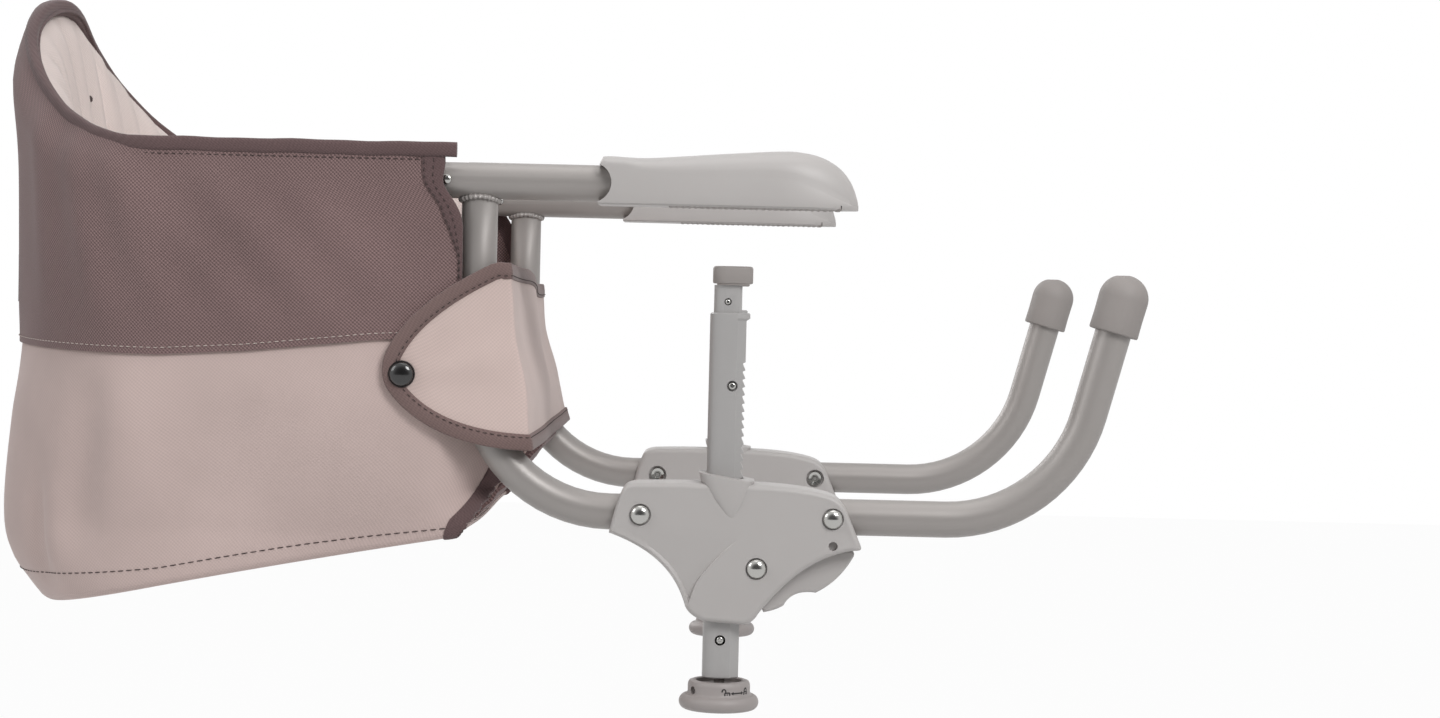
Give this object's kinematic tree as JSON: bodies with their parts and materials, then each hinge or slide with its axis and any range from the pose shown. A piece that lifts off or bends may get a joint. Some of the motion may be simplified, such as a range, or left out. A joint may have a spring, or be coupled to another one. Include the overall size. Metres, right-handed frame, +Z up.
{
  "type": "hook on table chair",
  "caption": "Baby seat of padded fabric on a bent tube frame that hooks over a tabletop and clamps up under it with screw posts.",
  "frame": {"origin": "midway between the arms on the plane of the tabletop's upper face, where the table's edge meets the upright tubes", "axes": "+X forward over the table, +Y to the seated child's left, +Z up"},
  "size_m": [0.663, 0.3636, 0.3981],
  "materials": {
    "tube_paint": "satin grey powder coat",
    "bright_steel": "bright plated steel",
    "pale_plastic": "fine-grained pale grey moulding",
    "post_plastic": "satin mid-grey moulding",
    "grip_rubber": "matt warm grey rubber",
    "knob_plastic": "matt warm grey moulding",
    "black_plastic": "glossy black",
    "dark_fabric": "dark taupe woven polyester",
    "pale_fabric": "pale taupe woven polyester",
    "liner_fabric": "off-white quilted polyester",
    "foam_pad": "fabric-covered foam"
  },
  "bodies": {
    "frame": {"arm_tube_left": "tube_paint", "arm_tube_right": "tube_paint", "arm_pad_left": "pale_plastic", "arm_pad_right": "pale_plastic", "arm_pad_sole_left": "grip_rubber", "arm_pad_sole_right": "grip_rubber", "rear_tube_left": "tube_paint", "rear_tube_right": "tube_paint", "front_tube_left": "tube_paint", "front_tube_right": "tube_paint", "tube_cap_left": "grip_rubber", "tube_cap_right": "grip_rubber", "hub_outer_shell_left": "pale_plastic", "hub_outer_shell_right": "pale_plastic", "hub_inner_shell_left": "pale_plastic", "hub_inner_shell_right": "pale_plastic", "rear_hub_bolt_left": "bright_steel", "rear_hub_bolt_right": "bright_steel", "front_hub_bolt_left": "bright_steel", "front_hub_bolt_right": "bright_steel", "lever_pivot_bolt_left": "bright_steel", "lever_pivot_bolt_right": "bright_steel", "lever_spring_left": "bright_steel", "lever_spring_right": "bright_steel", "hoop_rivet_left": "bright_steel", "hoop_rivet_right": "bright_steel", "flap_snap_left": "black_plastic", "flap_snap_right": "black_plastic", "front_panel": "pale_fabric", "crotch_strap": "dark_fabric", "waist_strap": "dark_fabric", "harness_buckle": "black_plastic"},
    "hoop": {"back_hoop": "tube_paint", "seat_upper_band": "dark_fabric", "seat_lower_body": "pale_fabric", "seat_liner": "liner_fabric", "seat_base_pad": "foam_pad"},
    "sleeve_left": {"clamp_sleeve_left": "post_plastic", "sleeve_bush_left": "pale_plastic", "guide_screw_left": "bright_steel", "bush_screw_left": "bright_steel"},
    "post_left": {"clamp_post_left": "post_plastic", "clamp_pad_left": "grip_rubber", "post_screw_left": "bright_steel"},
    "knob_left": {"clamp_knob_left": "knob_plastic", "clamp_screw_left": "bright_steel"},
    "lever_left": {"release_lever_left": "pale_plastic"},
    "sleeve_right": {"clamp_sleeve_right": "post_plastic", "sleeve_bush_right": "pale_plastic", "guide_screw_right": "bright_steel", "bush_screw_right": "bright_steel"},
    "post_right": {"clamp_post_right": "post_plastic", "clamp_pad_right": "grip_rubber", "post_screw_right": "bright_steel"},
    "knob_right": {"clamp_knob_right": "knob_plastic", "clamp_screw_right": "bright_steel"},
    "lever_right": {"release_lever_right": "pale_plastic"}
  },
  "joints": [
    {"name": "hoop_fold", "type": "hinge", "parent": "frame", "child": "hoop", "pos_m": [-0.0275, 0, 0.0122], "axis": [0, 1, 0], "range_deg": [0, 100], "deforming": ["seat_upper_band", "seat_lower_body", "seat_liner", "seat_base_pad"]},
    {"name": "sleeve_slide_left", "type": "slide", "parent": "frame", "child": "sleeve_left", "axis": [0, 0, 1], "range_m": [-0.08, 0.016]},
    {"name": "knob_turn_left", "type": "hinge", "parent": "sleeve_left", "child": "knob_left", "pos_m": [0.1276, 0.16, -0.262], "axis": [0, 0, 1], "range_deg": [-1090, 1090]},
    {"name": "post_slide_left", "type": "slide", "parent": "sleeve_left", "child": "post_left", "axis": [0, 0, 1], "range_m": [-0.012, 0.012]},
    {"name": "lever_squeeze_left", "type": "hinge", "parent": "frame", "child": "lever_left", "pos_m": [0.1465, 0.16, -0.196], "axis": [0, -1, 0], "range_deg": [0, 8], "stiffness_Nm_per_rad": 0.3, "springref_deg": -11.46},
    {"name": "sleeve_slide_right", "type": "slide", "parent": "frame", "child": "sleeve_right", "axis": [0, 0, 1], "range_m": [-0.08, 0.016]},
    {"name": "knob_turn_right", "type": "hinge", "parent": "sleeve_right", "child": "knob_right", "pos_m": [0.1276, -0.16, -0.262], "axis": [0, 0, 1], "range_deg": [-1090, 1090]},
    {"name": "post_slide_right", "type": "slide", "parent": "sleeve_right", "child": "post_right", "axis": [0, 0, 1], "range_m": [-0.012, 0.012]},
    {"name": "lever_squeeze_right", "type": "hinge", "parent": "frame", "child": "lever_right", "pos_m": [0.1465, -0.16, -0.196], "axis": [0, -1, 0], "range_deg": [0, 8], "stiffness_Nm_per_rad": 0.3, "springref_deg": -11.46}
  ],
  "couplings": [
    {"joint": "knob_turn_left", "follows": "post_slide_left", "rad_per_m": 1570.8},
    {"joint": "knob_turn_right", "follows": "post_slide_right", "rad_per_m": 1570.8}
  ]
}
